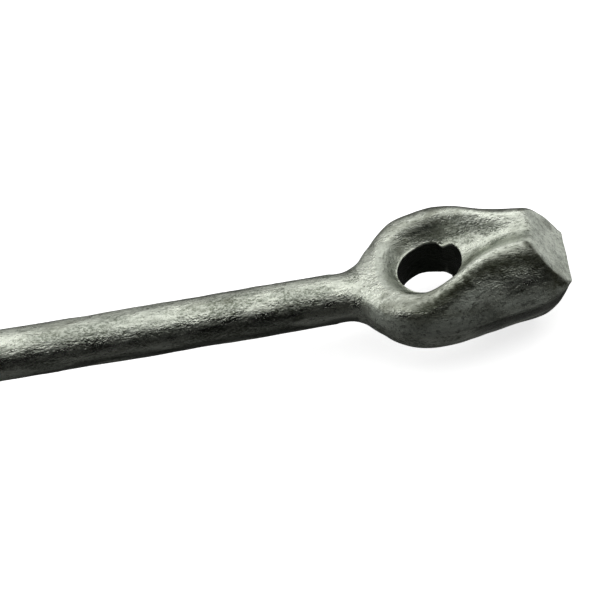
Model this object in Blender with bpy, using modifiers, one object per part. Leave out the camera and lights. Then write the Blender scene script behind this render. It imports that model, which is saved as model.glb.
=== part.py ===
"""Forged thimble-eye bolt, 5/8 in by 10 in, with the fasteners that hold it on a pole.

The bolt is one forging: a round shank that widens into a flat ring, and a wedge beyond the ring whose top and
bottom each carry a groove for the strand. Its far end has a rolled thread. A square washer, a square nut and a
spring lock nut sit on the thread. +X runs along the shank towards the eye, the eye's hole runs along Z, and the
origin is the middle of the whole assembly, on the shank's axis.
"""

import math

import bmesh
import bpy
from mathutils import Vector

INCH = 0.0254
CLEARANCE = 0.0003  # between pieces that bear on each other

# The bolt, along X
END_FROM_EYE = 0.0437  # from the middle of the hole to the wedge's edge
NECK_FROM_EYE = 0.0275  # from the middle of the hole to where the shank is round
UNDER_HEAD_LENGTH = 10 * INCH
THREAD_LENGTH = 4 * INCH
OVERALL_LENGTH = END_FROM_EYE + NECK_FROM_EYE + UNDER_HEAD_LENGTH
EYE_X = OVERALL_LENGTH / 2 - END_FROM_EYE
NECK_X = EYE_X - NECK_FROM_EYE
TIP_X = -OVERALL_LENGTH / 2
THREAD_START_X = TIP_X + THREAD_LENGTH

# Shank and thread
SHANK_RADIUS = 0.00805
SHANK_CHAMFER = 0.0008
PITCH = INCH / 11
CREST_RADIUS = 0.00785
ROOT_RADIUS = 0.0065
THREAD_STEPS = 16  # flats in one turn
BLANK_OVERLAP = 0.002  # of the thread into the plain shank
POINT_LENGTH = 0.0028  # the cone on the tip
POINT_RADIUS = 0.0052
THREAD_PLAY = 0.0006  # radial play between the bolt's thread and the nuts' threads

# The eye in plan, measured from the middle of the hole
HOLE_RADIUS = 0.011
EYE_RADIUS = 0.0252  # outside of the ring
EYE_CENTRE = 0.0015  # the ring's outside circle is set a little forward of the hole
NECK_FILLET = 0.008
TAPER = math.radians(11.5)  # each side of the wedge turns in by this much
TAPER_LENGTH = 0.030  # from the hole to where the nose starts to round in
NOSE_RADIUS = 0.022

# The ridges along the ring and the wedge
RING_RIDGE_SPREAD = 0.0175  # from the axis to a ridge, beside the hole
RING_RIDGE_BACK = 0.0125  # from RIDGE_TURN back to the ridge behind the hole
RIDGE_TURN = -0.004  # where the ridges start to close in
NOSE_RIDGE_SPREAD = 0.007
RIDGE_CLOSED = 0.028  # where they run straight again
RING_HEIGHT = 0.0104
NOSE_HEIGHT = 0.0168
RING_RISE = (-0.022, -0.004)  # where the neck rises to the ring, along X
NOSE_RISE = (-0.008, 0.014)  # where the ring rises to the wedge

# The funnel around the hole, and the groove it opens into
RIM_HEIGHT = 0.0045  # the funnel's floor, at the hole
FUNNEL_FLOOR = 0.56  # share of the way out to the ridge where the funnel's wall starts
FUNNEL_CURVE = 1.3  # above 1, the wall starts gently
CREST_START = 0.94  # share of the way out where the ridge's crest is reached
GROOVE_BLEND = (-0.002, 0.022)  # where the funnel turns into the groove
GROOVE_START = 0.006  # where the groove's floor starts to climb
GROOVE_RUN = 0.030
GROOVE_CURVE = 1.9  # above 1, the floor climbs fast first
GROOVE_END_HEIGHT = 0.015

# How full the sides are outside the ridges: 2 is round, 1 a straight draft
RING_FULLNESS = 2.0
WEDGE_FULLNESS = 1.38
END_FULLNESS = 1.24
WEDGE_BLEND = (-0.002, 0.017)
END_BLEND = (0.026, 0.038)
ROOF_SLOPE = 1.485  # fall of the end face for each unit along X
ROOF_ROUNDING = 0.0011

# Mesh of the forging and of the turned pieces
GROOVE_COLUMNS = 6  # from the middle plane to the ridge
SIDE_COLUMNS = 6  # from the ridge to the parting line
SECTION_STEP = 0.0022
NOSE_START = 0.032  # from here the nose's own sections follow
NOSE_SECTIONS = (0.0332, 0.0345, 0.0365, 0.0388, 0.0410, 0.0426, END_FROM_EYE)
TURNED_STEPS = 32
CROWN_STEPS = 48
MERGE = 0.00001  # vertices closer than this are one
MIRROR_MERGE = 0.00002
OVERSHOOT = 0.001  # of a cutter past the face it opens

# Square washer, square nut and spring lock nut
WASHER_SIDE = 2.25 * INCH
WASHER_THICKNESS = 3 / 16 * INCH
WASHER_BORE_RADIUS = 11 / 32 * INCH
WASHER_BEVEL = 0.0006
CLAMPED_LENGTH = 7.5 * INCH  # from the neck to the washer's face
NUT_SIDE = 1.0 * INCH
NUT_THICKNESS = 35 / 64 * INCH
NUT_CROWN_RADIUS = 0.0128  # of the flat ring on the nut's outer face
NUT_CROWN_DEPTH = 0.0024
NUT_CORNER_RADIUS = 0.0171  # corners are turned down to this
LOCK_SIDE = 1.0 * INCH
LOCK_SHEET = 0.0028
LOCK_DISH = 0.0022  # rise of the sheet from its rim to its thread
LOCK_HUB_RADIUS = 0.0095
WASHER_X = NECK_X - CLAMPED_LENGTH  # the washer's face on the pole
NUT_X = WASHER_X - WASHER_THICKNESS - CLEARANCE  # the nut's face on the washer
LOCK_X = NUT_X - NUT_THICKNESS - CLEARANCE


def smooth_step(x, start, end):
    """Rise smoothly from 0 at start to 1 at end."""
    t = min(max((x - start) / (end - start), 0.0), 1.0)
    return t * t * (3 - 2 * t)


def smooth_min(a, b, radius):
    """The lower of two heights, with their crossing rounded off."""
    t = max(radius * 2 - abs(a - b), 0.0) / (radius * 2)
    return min(a, b) - t * t * radius / 2


def half_width(x):
    """Half the width at the parting line, x ahead of the hole."""
    reach = EYE_RADIUS + NECK_FILLET
    fillet_y = SHANK_RADIUS + NECK_FILLET
    fillet_x = EYE_CENTRE - math.sqrt(reach**2 - fillet_y**2)
    fillet_end = EYE_CENTRE + (fillet_x - EYE_CENTRE) * EYE_RADIUS / reach
    taper_start = EYE_CENTRE + EYE_RADIUS * math.sin(TAPER)
    if x <= fillet_x:
        return SHANK_RADIUS
    if x < fillet_end:
        return fillet_y - math.sqrt(NECK_FILLET**2 - (x - fillet_x) ** 2)
    if x < taper_start:
        return math.sqrt(EYE_RADIUS**2 - (x - EYE_CENTRE) ** 2)
    run = min(x, TAPER_LENGTH) - taper_start
    width = EYE_RADIUS * math.cos(TAPER) - run * math.tan(TAPER)
    if x > TAPER_LENGTH:
        sine = math.sin(TAPER) + (x - TAPER_LENGTH) / NOSE_RADIUS
        width -= NOSE_RADIUS * (math.cos(TAPER) - math.sqrt(1 - sine**2))
    return width


def ridge_spread(x):
    """Distance from the middle plane to a ridge, and 0 behind the ring's ridge."""
    if x < RIDGE_TURN:
        back = (x - RIDGE_TURN) / RING_RIDGE_BACK
        return RING_RIDGE_SPREAD * math.sqrt(max(1 - back**2, 0.0))
    t = min((x - RIDGE_TURN) / (RIDGE_CLOSED - RIDGE_TURN), 1.0)
    return NOSE_RIDGE_SPREAD + (RING_RIDGE_SPREAD - NOSE_RIDGE_SPREAD) * (1 + math.cos(math.pi * t)) / 2


def ridge_height(x):
    """Height of the ridges, or of the shank and neck behind them."""
    neck = SHANK_RADIUS + (RING_HEIGHT - SHANK_RADIUS) * smooth_step(x, *RING_RISE)
    return neck + (NOSE_HEIGHT - RING_HEIGHT) * smooth_step(x, *NOSE_RISE)


def groove_floor(x):
    """Height of the funnel's floor, and of the groove that climbs from it to the end."""
    t = min(max((x - GROOVE_START) / GROOVE_RUN, 0.0), 1.0)
    return RIM_HEIGHT + (GROOVE_END_HEIGHT - RIM_HEIGHT) * (1 - (1 - t) ** GROOVE_CURVE)


def groove_height(x, y):
    """Height inside the ridges: a funnel around the hole, opening into a groove."""
    if x < RIDGE_TURN:
        out = math.hypot((x - RIDGE_TURN) / RING_RIDGE_BACK, y / RING_RIDGE_SPREAD)
    else:
        out = abs(y) / ridge_spread(x)
    out = min(out / CREST_START, 1.0)
    up_the_wall = max((out - FUNNEL_FLOOR) / (1 - FUNNEL_FLOOR), 0.0)
    funnel = math.sin(math.pi / 2 * up_the_wall**FUNNEL_CURVE)
    groove = (1 - math.cos(math.pi * out)) / 2
    wall = funnel + (groove - funnel) * smooth_step(x, *GROOVE_BLEND)
    floor = groove_floor(x)
    return floor + (ridge_height(x) - floor) * wall


def side_height(x, y):
    """Height outside the ridges: round beside the hole, a straight draft on the wedge."""
    spread = ridge_spread(x)
    out = (abs(y) - spread) / (half_width(x) - spread)
    fullness = RING_FULLNESS + (WEDGE_FULLNESS - RING_FULLNESS) * smooth_step(x, *WEDGE_BLEND)
    fullness += (END_FULLNESS - WEDGE_FULLNESS) * smooth_step(x, *END_BLEND)
    return ridge_height(x) * max(1 - min(out, 1.0) ** fullness, 0.0) ** (1 / fullness)


def head_height(x, y):
    """Height of the forging above the parting plane."""
    inside = abs(y) < ridge_spread(x)
    height = groove_height(x, y) if inside else side_height(x, y)
    roof = ROOF_SLOPE * (END_FROM_EYE - x)
    if roof > height + ROOF_ROUNDING * 2 or height < ROOF_ROUNDING * 2:
        return min(height, roof)
    return max(smooth_min(height, roof, ROOF_ROUNDING), 0.0)


def section(x):
    """One quarter of the section at x, from the top of the middle plane out to the parting line.

    Its columns meet at the ridge, or half way out where the section has no ridge.
    """
    width = half_width(x)
    guide = max(ridge_spread(x), width / 2)
    ys = [guide * math.sin(math.pi / 2 * j / GROOVE_COLUMNS) for j in range(GROOVE_COLUMNS)]
    side = [math.sin(math.pi / 2 * j / SIDE_COLUMNS) for j in range(SIDE_COLUMNS + 1)]
    ys += [guide + (width - guide) * share for share in side]
    points = [Vector((EYE_X + x, y, head_height(x, y))) for y in ys]
    points[-1].z = 0
    return points


def section_places():
    """Where the head's sections are, close together where its shape changes fast."""
    count = math.floor((NOSE_START + NECK_FROM_EYE) / SECTION_STEP)
    return [-NECK_FROM_EYE + SECTION_STEP * i for i in range(count + 1)] + list(NOSE_SECTIONS)


def new_object(name, mesh, collection):
    obj = bpy.data.objects.new(name, mesh)
    collection.objects.link(obj)
    return obj


def evaluated_copy(obj, name, collection):
    """A plain mesh object with obj's modifiers applied; obj is removed."""
    graph = bpy.context.evaluated_depsgraph_get()
    mesh = bpy.data.meshes.new_from_object(obj.evaluated_get(graph))
    matrix = obj.matrix_world.copy()
    bpy.data.objects.remove(obj)
    copy = new_object(name, mesh, collection)
    copy.matrix_world = matrix
    mesh.name = name
    return copy


def boolean(obj, other, operation):
    modifier = obj.modifiers.new(other.name, "BOOLEAN")
    modifier.operation = operation
    modifier.solver = "EXACT"
    modifier.object = other
    return modifier


def as_cutter(obj):
    obj.hide_render = True
    obj.display_type = "WIRE"
    return obj


def turned(name, profile, collection, steps=TURNED_STEPS):
    """A solid turned about X from (x, radius) points, given from its +X end to its -X end."""
    mesh = bpy.data.meshes.new(name)
    edges = [(i, i + 1) for i in range(len(profile) - 1)]
    mesh.from_pydata([(x, 0, radius) for x, radius in profile], edges, [])
    obj = new_object(name, mesh, collection)
    screw = obj.modifiers.new("Turn", "SCREW")
    screw.axis = "X"
    screw.steps = steps
    screw.render_steps = steps
    screw.use_merge_vertices = True
    screw.merge_threshold = MERGE
    return obj


def helical_solid(name, root_radius, crest_radius, start_x, turns, collection):
    """A solid with a right-hand V thread about X, closed at both ends."""
    mesh = bpy.data.meshes.new(name)
    tooth = [(0, root_radius), (PITCH / 2, crest_radius), (PITCH, root_radius)]
    mesh.from_pydata([(start_x + along, 0, radius) for along, radius in tooth], [(0, 1), (1, 2)], [])
    obj = new_object(name, mesh, collection)
    screw = obj.modifiers.new("Thread", "SCREW")
    screw.axis = "X"
    screw.steps = THREAD_STEPS
    screw.render_steps = THREAD_STEPS
    screw.iterations = turns
    screw.screw_offset = PITCH
    obj = evaluated_copy(obj, name, collection)
    bm = bmesh.new()
    bm.from_mesh(obj.data)
    bmesh.ops.remove_doubles(bm, verts=bm.verts, dist=MERGE)
    open_edges = [edge for edge in bm.edges if edge.is_boundary]
    bmesh.ops.holes_fill(bm, edges=open_edges, sides=0)
    bmesh.ops.recalc_face_normals(bm, faces=bm.faces)
    bm.to_mesh(obj.data)
    bm.free()
    return obj


def section_angle(point):
    return math.atan2(point.y, point.z)


def shank_end_sections():
    """The chamfered end of the plain shank, where the thread begins."""
    angles = [section_angle(point) for point in section(-NECK_FROM_EYE)]
    rings = []
    for inset in (SHANK_CHAMFER, 0.0):
        x = THREAD_START_X + SHANK_CHAMFER - inset
        radius = SHANK_RADIUS - inset
        rings.append([Vector((x, radius * math.sin(a), radius * math.cos(a))) for a in angles])
    return rings


def add_head_and_shank(collection):
    """The plain shank and the head: one quarter lofted through its sections, mirrored twice."""
    rings = shank_end_sections() + [section(x) for x in section_places()]
    bm = bmesh.new()
    loft = [[bm.verts.new(point) for point in ring] for ring in rings]
    for ring, after in zip(loft, loft[1:]):
        for i in range(len(ring) - 1):
            bm.faces.new((ring[i], ring[i + 1], after[i + 1], after[i]))
    centre = bm.verts.new((THREAD_START_X, 0, 0))
    bm.faces.new([centre, *reversed(loft[0])])
    bmesh.ops.remove_doubles(bm, verts=bm.verts, dist=MERGE)
    bmesh.ops.dissolve_degenerate(bm, edges=bm.edges, dist=MERGE)
    mesh = bpy.data.meshes.new("head_and_shank")
    bm.to_mesh(mesh)
    bm.free()
    obj = new_object("head_and_shank", mesh, collection)
    mirror = obj.modifiers.new("Both sides", "MIRROR")
    mirror.use_axis = (False, True, True)
    mirror.merge_threshold = MIRROR_MERGE
    obj = evaluated_copy(obj, "head_and_shank", collection)
    face_outwards(obj.data)
    return obj


def face_outwards(mesh):
    bm = bmesh.new()
    bm.from_mesh(mesh)
    bmesh.ops.recalc_face_normals(bm, faces=bm.faces)
    bm.to_mesh(mesh)
    bm.free()


def add_bolt(parts, cutters):
    """The forged bolt: the threaded end and the head in one piece, with the hole through the eye."""
    turns = math.ceil(THREAD_LENGTH / PITCH) + 3
    thread = helical_solid("rolled_thread", ROOT_RADIUS, CREST_RADIUS, TIP_X - PITCH, turns, cutters)
    blank_end = THREAD_START_X + BLANK_OVERLAP
    blank = turned(
        "threaded_blank",
        [
            (blank_end, 0),
            (blank_end, SHANK_RADIUS),
            (TIP_X + POINT_LENGTH, SHANK_RADIUS),
            (TIP_X, POINT_RADIUS),
            (TIP_X, 0),
        ],
        cutters,
    )
    hole = turned(
        "eye_hole",
        [(NOSE_HEIGHT, 0), (NOSE_HEIGHT, HOLE_RADIUS), (-NOSE_HEIGHT, HOLE_RADIUS), (-NOSE_HEIGHT, 0)],
        cutters,
    )
    hole.rotation_euler.y = math.pi / 2
    hole.location.x = EYE_X
    bolt = add_head_and_shank(parts)
    bolt.name = bolt.data.name = "thimble_eye_bolt"
    boolean(thread, as_cutter(blank), "INTERSECT")
    boolean(bolt, as_cutter(thread), "UNION")
    boolean(bolt, as_cutter(hole), "DIFFERENCE")
    return bolt


def square_plate(name, side, front_x, thickness, collection):
    """A square block about the X axis whose +X face is at front_x."""
    bpy.ops.mesh.primitive_cube_add(size=1)
    obj = bpy.context.object
    for owner in obj.users_collection:
        owner.objects.unlink(obj)
    collection.objects.link(obj)
    obj.name = obj.data.name = name
    obj.data.transform(obj.matrix_world.inverted())
    for vertex in obj.data.vertices:
        vertex.co.x = front_x - thickness / 2 + vertex.co.x * thickness
        vertex.co.y *= side
        vertex.co.z *= side
    return obj


def nut_thread_cutter(name, middle_x, length, collection):
    """The space that a nut's thread leaves: the bolt's own thread, in step with it and a little larger."""
    first = math.floor((middle_x - length / 2 - TIP_X) / PITCH) - 1
    turns = math.ceil(length / PITCH) + 3
    cutter = helical_solid(
        name,
        ROOT_RADIUS + THREAD_PLAY,
        CREST_RADIUS + THREAD_PLAY,
        TIP_X + PITCH * first,
        turns,
        collection,
    )
    return as_cutter(cutter)


def add_washer(parts, cutters):
    washer = square_plate("square_washer", WASHER_SIDE, WASHER_X, WASHER_THICKNESS, parts)
    bevel = washer.modifiers.new("Sheared edges", "BEVEL")
    bevel.width = WASHER_BEVEL
    bevel.segments = 1
    front = WASHER_X + OVERSHOOT
    back = WASHER_X - WASHER_THICKNESS - OVERSHOOT
    bore = turned(
        "washer_bore",
        [(front, 0), (front, WASHER_BORE_RADIUS), (back, WASHER_BORE_RADIUS), (back, 0)],
        cutters,
    )
    boolean(washer, as_cutter(bore), "DIFFERENCE")
    return washer


def add_nut(parts, cutters):
    """The square nut: flat towards the washer, corners chamfered on its outer face."""
    nut = square_plate("square_nut", NUT_SIDE, NUT_X, NUT_THICKNESS, parts)
    outer_x = NUT_X - NUT_THICKNESS
    crown = turned(
        "nut_crown",
        [
            (NUT_X + OVERSHOOT, 0),
            (NUT_X + OVERSHOOT, NUT_CORNER_RADIUS),
            (outer_x + NUT_CROWN_DEPTH, NUT_CORNER_RADIUS),
            (outer_x, NUT_CROWN_RADIUS),
            (outer_x, 0),
        ],
        cutters,
        steps=CROWN_STEPS,
    )
    thread = nut_thread_cutter("nut_thread", NUT_X - NUT_THICKNESS / 2, NUT_THICKNESS, cutters)
    boolean(nut, as_cutter(crown), "INTERSECT")
    boolean(nut, thread, "DIFFERENCE")
    return nut


def add_lock_nut(parts, cutters):
    """The spring lock nut: a square of spring sheet, dished away from the nut towards its thread."""
    rim_x = LOCK_X
    hub_x = LOCK_X - LOCK_DISH
    outside = LOCK_SIDE * 0.75  # clear of the square's corners
    lock = turned(
        "spring_lock_nut",
        [
            (hub_x, 0),
            (hub_x, LOCK_HUB_RADIUS),
            (rim_x, LOCK_SIDE / 2),
            (rim_x, outside),
            (rim_x - LOCK_SHEET, outside),
            (rim_x - LOCK_SHEET, LOCK_SIDE / 2),
            (hub_x - LOCK_SHEET, LOCK_HUB_RADIUS),
            (hub_x - LOCK_SHEET, 0),
        ],
        parts,
    )
    length = LOCK_DISH + LOCK_SHEET
    block = square_plate("lock_square", LOCK_SIDE, LOCK_X + OVERSHOOT, length + OVERSHOOT * 2, cutters)
    thread = nut_thread_cutter("lock_thread", LOCK_X - length / 2, length, cutters)
    boolean(lock, as_cutter(block), "INTERSECT")
    boolean(lock, thread, "DIFFERENCE")
    return lock


def finish(obj, name, colour, roughness, metallic):
    """Give an object its material and shade its round faces smooth."""
    material = bpy.data.materials.new(name)
    material.use_nodes = True
    shader = material.node_tree.nodes["Principled BSDF"]
    shader.inputs["Base Color"].default_value = (*colour, 1)
    shader.inputs["Roughness"].default_value = roughness
    shader.inputs["Metallic"].default_value = metallic
    obj.data.materials.clear()
    obj.data.materials.append(material)
    obj.data.shade_smooth()
    obj.data.set_sharp_from_angle(angle=math.radians(30))


def new_collection(name):
    collection = bpy.data.collections.new(name)
    bpy.context.scene.collection.children.link(collection)
    return collection


def main():
    for obj in list(bpy.data.objects):
        bpy.data.objects.remove(obj)
    parts = new_collection("thimble_eye")
    cutters = new_collection("cutters")
    finish(add_bolt(parts, cutters), "forging_zinc", (0.45, 0.46, 0.43), 0.5, 0.8)
    finish(add_washer(parts, cutters), "washer_zinc", (0.50, 0.51, 0.50), 0.45, 0.8)
    finish(add_nut(parts, cutters), "nut_zinc", (0.42, 0.43, 0.42), 0.45, 0.8)
    finish(add_lock_nut(parts, cutters), "lock_nut_zinc", (0.55, 0.55, 0.52), 0.4, 0.85)


main()
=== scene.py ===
"""Looks of a galvanised thimble-eye bolt, with its square washer, square nut and spring lock nut."""

import math

import bmesh
import bpy
from mathutils import Matrix, Vector, noise


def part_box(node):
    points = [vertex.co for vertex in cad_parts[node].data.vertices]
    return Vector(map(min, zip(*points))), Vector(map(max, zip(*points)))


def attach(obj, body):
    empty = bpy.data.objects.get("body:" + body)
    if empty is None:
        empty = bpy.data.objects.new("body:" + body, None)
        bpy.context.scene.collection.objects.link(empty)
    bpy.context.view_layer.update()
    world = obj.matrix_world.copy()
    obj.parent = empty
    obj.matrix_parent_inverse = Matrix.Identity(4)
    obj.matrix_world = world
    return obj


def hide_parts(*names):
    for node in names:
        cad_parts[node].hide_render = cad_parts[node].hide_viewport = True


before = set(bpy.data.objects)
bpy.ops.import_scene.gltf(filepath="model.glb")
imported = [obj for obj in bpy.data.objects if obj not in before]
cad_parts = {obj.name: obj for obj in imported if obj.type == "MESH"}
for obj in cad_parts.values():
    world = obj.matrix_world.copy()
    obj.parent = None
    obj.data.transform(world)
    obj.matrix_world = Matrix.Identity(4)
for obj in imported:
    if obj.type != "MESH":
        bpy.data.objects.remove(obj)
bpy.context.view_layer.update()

INCH = 0.0254
NEARLY_ZERO = 0.000001
BOLT_LOW, BOLT_HIGH = (Vector(corner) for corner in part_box("thimble_eye_bolt"))

# The forging in plan. Places on the head are counted from the middle of the eye's hole:
# x towards the end of the head, y across it, z up. A pair (start, end) is a stretch where something fades in.
END_FROM_EYE = 0.0437
NECK_FROM_EYE = 0.0275
EYE_X = BOLT_HIGH.x - END_FROM_EYE
NECK_X = EYE_X - NECK_FROM_EYE
TIP_X = BOLT_LOW.x
THREAD_START_X = TIP_X + 4 * INCH
SHANK_RADIUS = 0.00805
EYE_RADIUS = 0.0252
EYE_CENTRE = 0.0015
NECK_FILLET = 0.008
TAPER = math.radians(11.5)
TAPER_LENGTH = 0.030
NOSE_RADIUS = 0.022

# The ridges, which run along the nose and close behind the hole in an arc
RING_RIDGE_SPREAD = 0.0175
RING_RIDGE_BACK = 0.0145
RIDGE_TURN = -0.002  # where the arc starts
NOSE_RIDGE_SPREAD = 0.007
RIDGE_CLOSED = 0.028  # where the ridges are closest
RING_HEIGHT = 0.0104
NOSE_HEIGHT = 0.0168
RING_RISE = (-0.022, -0.004)
NOSE_RISE = (-0.0054, 0.0160)
UNDER_LAG = 0.005  # the ridges underneath rise this much later along the head

# The funnel around the hole, and the grooves that it opens into
RIM_HEIGHT = 0.0045
UNDER_RIM_HEIGHT = 0.0065  # the punch pushed the web down, so the hole's lower rim hangs lower
CREST_START = 0.97  # share of the way out to the ridge where the wall has its full height
FUNNEL_FLOOR = 0.56  # share of the way out to the ridge where the funnel's wall starts
FUNNEL_CURVE = 1.3
TROUGH_CURVE = 1.2
DRAFT_CURVE = 1.5
GROOVE_BLEND = (-0.002, 0.022)
GROOVE_START = 0.006
GROOVE_RUN = 0.030
GROOVE_CURVE = 1.9
GROOVE_END_HEIGHT = 0.015

# The sides. A fullness of 2 gives a round section, less gives a straighter one, and more a squarer one.
RING_FULLNESS = 2
WEDGE_STRAIGHTER = 0.62
WEDGE_BLEND = (-0.002, 0.017)
END_STRAIGHTER = 0.14
END_BLEND = (0.026, 0.038)
BACK_SQUARER = 0.5
BACK_START = (-0.026, -0.018)
BACK_FADE = (-0.012, 0.0)
NEAR_BACK_SQUARER = 1.1  # on the upper half at -Y only
NEAR_BACK_FADE = (-0.010, 0.004)
ROOF_SLOPE = 1.485  # the end face's fall along the head
ROOF_ROUNDING = 0.0015

# The punched hole. Waves say how often its unevenness changes around it, patterns tell one from another.
HOLE_RADIUS = 0.0104
HOLE_WIDER = 0.0007
HOLE_WIDER_AT = math.radians(10)
HOLE_RAGGED = 0.0002
HOLE_WAVES = 2.2
HOLE_PATTERN = 4.0
HOLE_PATTERN_CHANGE = 0.35  # from the upper rim to the lower one
LEFT_OVER = 0.0010  # flash left on the upper rim
LEFT_OVER_AT = math.radians(54)
LEFT_OVER_SPREAD = math.radians(11)
LIP_HEIGHT = 0.00025
LIP_WIDTH = 0.00022
LIP_WAVES = 3
LIP_PATTERN = 9.0
GUTTER_DEPTH = 0.00012
GUTTER_FROM_RIM = 0.0010
GUTTER_WIDTH = 0.0005
THROAT_BULGE = 0.0005
THROAT_TORN = 0.00012
THROAT_WAVES = 7
THROAT_PATTERN_CHANGE = 3

# Thread
PITCH = INCH / 11
CREST_RADIUS = 0.00785
ROOT_RADIUS = 0.0066
THREAD_PHASE = 0.25  # puts the crests on the CAD thread's crests, in turns
FLANK = (0.06, 0.44)  # distances from the crest between which the flank runs, in pitches
RUN_OUT = 1.5 * PITCH
FIRST_THREAD_X = THREAD_START_X - 0.0004
SHOULDER_DROP = 0.0002
SHOULDER_LENGTH = 0.0016
POINT_LENGTH = 0.0028
POINT_RADIUS = 0.0052

# Mesh density of the forging
OUTLINE_STEP = 0.00048
OUTLINE_FINE_STEP = 0.00005
END_EDGE_STEPS = 200
HALF_TURN_STEPS = 24
ROWS = 60
THROAT_ROWS = 12
SHANK_STEP = 0.0007
THREAD_ROWS = 10
MERGE_DISTANCE = 0.000002

# How the real forging strays from the drawn one. A wave is a height, a fineness and a seed.
HEAD_SET = Vector((0, 0.00085, 0.00085))  # the head stands this much off the shank's line
HEAD_SET_REACH = 0.004
HAMMERED = ((0.00022, 55, 3), (0.00010, 160, 5))
ZINC_RUNS = (0.00006, 420, 7)
RUN_STRETCH = 0.35
LUMP_HEIGHT = 0.0004
LUMP_WAVE = (330, 11)
LUMP_THRESHOLD = 0.45
PIT_DEPTH = 0.0004
PIT_WAVE = (700, 13)
PIT_THRESHOLD = 0.4
HEAD_EVENER = 0.75  # share of the lumps and pits that the head doesn't have
EVENER_REACH = 0.01
THREAD_EVENER = 0.75  # share of all unevenness that the thread doesn't have
THREAD_EVENER_REACH = 0.002
FLASH = 0.0005
FLASH_ON_RING = 0.2
FLASH_START = (0.0115, 0.0122)
FLASH_WAVE = (130, 17)

# How the forging's corners are rounded off
SOFT_PAST_NECK = 0.003
SOFT_RING_END = 0.016
SOFTEN_ALL = 1
SOFTEN_INNER = 4
SOFTEN_RING = 10
RIM_EDGE = 0.0005
PARTING_EDGE = 0.0008


def smooth_step(x, start, end):
    t = min(max((x - start) / (end - start), 0.0), 1.0)
    return t * t * (3 - 2 * t)


def smooth_min(a, b, radius):
    t = max(radius * 2 - abs(a - b), 0.0) / (radius * 2)
    return min(a, b) - t * t * radius / 2


def bell(distance, width):
    """1 at no distance, falling to nearly 0 at twice width."""
    return math.exp(-((distance / width) ** 2))


def wander(place, fineness, seed):
    return noise.noise(place * fineness + Vector((seed, seed * 0.37, seed * 0.71)))


def uneven(place, waves):
    """The sum of some waves, each with its height, fineness and seed."""
    return sum(height * wander(place, fineness, seed) for height, fineness, seed in waves)


def uneven_around(angle, waves, pattern):
    """Unevenness around the hole, from about -1 to 1, that meets itself after a turn."""
    return noise.noise(Vector((math.cos(angle) * waves, math.sin(angle) * waves, pattern)))


# ---------------------------------------------------------------- the forging's shape


def half_width(x):
    """Half the width at the parting line."""
    reach = EYE_RADIUS + NECK_FILLET
    fillet_y = SHANK_RADIUS + NECK_FILLET
    fillet_x = EYE_CENTRE - math.sqrt(reach**2 - fillet_y**2)
    fillet_end = EYE_CENTRE + (fillet_x - EYE_CENTRE) * EYE_RADIUS / reach
    taper_start = EYE_CENTRE + EYE_RADIUS * math.sin(TAPER)
    if x <= fillet_x:
        return SHANK_RADIUS
    if x < fillet_end:
        return fillet_y - math.sqrt(NECK_FILLET**2 - (x - fillet_x) ** 2)
    if x < taper_start:
        return math.sqrt(EYE_RADIUS**2 - (x - EYE_CENTRE) ** 2)
    run = min(x, TAPER_LENGTH) - taper_start
    width = EYE_RADIUS * math.cos(TAPER) - run * math.tan(TAPER)
    if x > TAPER_LENGTH:
        sine = math.sin(TAPER) + (x - TAPER_LENGTH) / NOSE_RADIUS
        width -= NOSE_RADIUS * (math.cos(TAPER) - math.sqrt(1 - sine**2))
    return width


def ridge_spread(x):
    """Distance from the middle plane to a ridge, and 0 behind the ring's ridge."""
    if x < RIDGE_TURN:
        back = (x - RIDGE_TURN) / RING_RIDGE_BACK
        return RING_RIDGE_SPREAD * math.sqrt(max(1 - back**2, 0.0))
    t = min((x - RIDGE_TURN) / (RIDGE_CLOSED - RIDGE_TURN), 1.0)
    return NOSE_RIDGE_SPREAD + (RING_RIDGE_SPREAD - NOSE_RIDGE_SPREAD) * (1 + math.cos(math.pi * t)) / 2


def ridge_height(x, lag=0.0):
    """Height of the ridges, which rise later by lag."""
    x -= lag
    ring = SHANK_RADIUS + (RING_HEIGHT - SHANK_RADIUS) * smooth_step(x, *RING_RISE)
    return ring + (NOSE_HEIGHT - RING_HEIGHT) * smooth_step(x, *NOSE_RISE)


def groove_floor(x, rim):
    """Height of the middle of the groove, from the hole's rim up to the end of the head."""
    t = min(max((x - GROOVE_START) / GROOVE_RUN, 0.0), 1.0)
    return rim + (GROOVE_END_HEIGHT - rim) * (1 - (1 - t) ** GROOVE_CURVE)


def groove_height(x, y, rim, lag):
    """Height inside the ridges: a funnel around the hole, opening into a groove."""
    if x < RIDGE_TURN:
        out = math.hypot((x - RIDGE_TURN) / RING_RIDGE_BACK, y / RING_RIDGE_SPREAD)
    else:
        out = abs(y) / ridge_spread(x)
    out = min(out / CREST_START, 1.0)
    up_funnel = max((out - FUNNEL_FLOOR) / (1 - FUNNEL_FLOOR), 0.0)
    funnel = math.sin(math.pi / 2 * up_funnel**FUNNEL_CURVE)
    groove = (math.sin(math.pi / 2 * out**TROUGH_CURVE) ** 2 + out**DRAFT_CURVE) / 2
    wall = funnel + (groove - funnel) * smooth_step(x, *GROOVE_BLEND)
    floor = groove_floor(x, rim)
    return floor + (ridge_height(x, lag) - floor) * wall


def side_fullness(x, y, lag):
    fullness = RING_FULLNESS - WEDGE_STRAIGHTER * smooth_step(x, *WEDGE_BLEND)
    fullness -= END_STRAIGHTER * smooth_step(x, *END_BLEND)
    ring_back = smooth_step(x, *BACK_START)
    fullness += BACK_SQUARER * ring_back * (1 - smooth_step(x, *BACK_FADE))
    if y < 0 and lag == 0:
        fullness += NEAR_BACK_SQUARER * ring_back * (1 - smooth_step(x, *NEAR_BACK_FADE))
    return fullness


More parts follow.
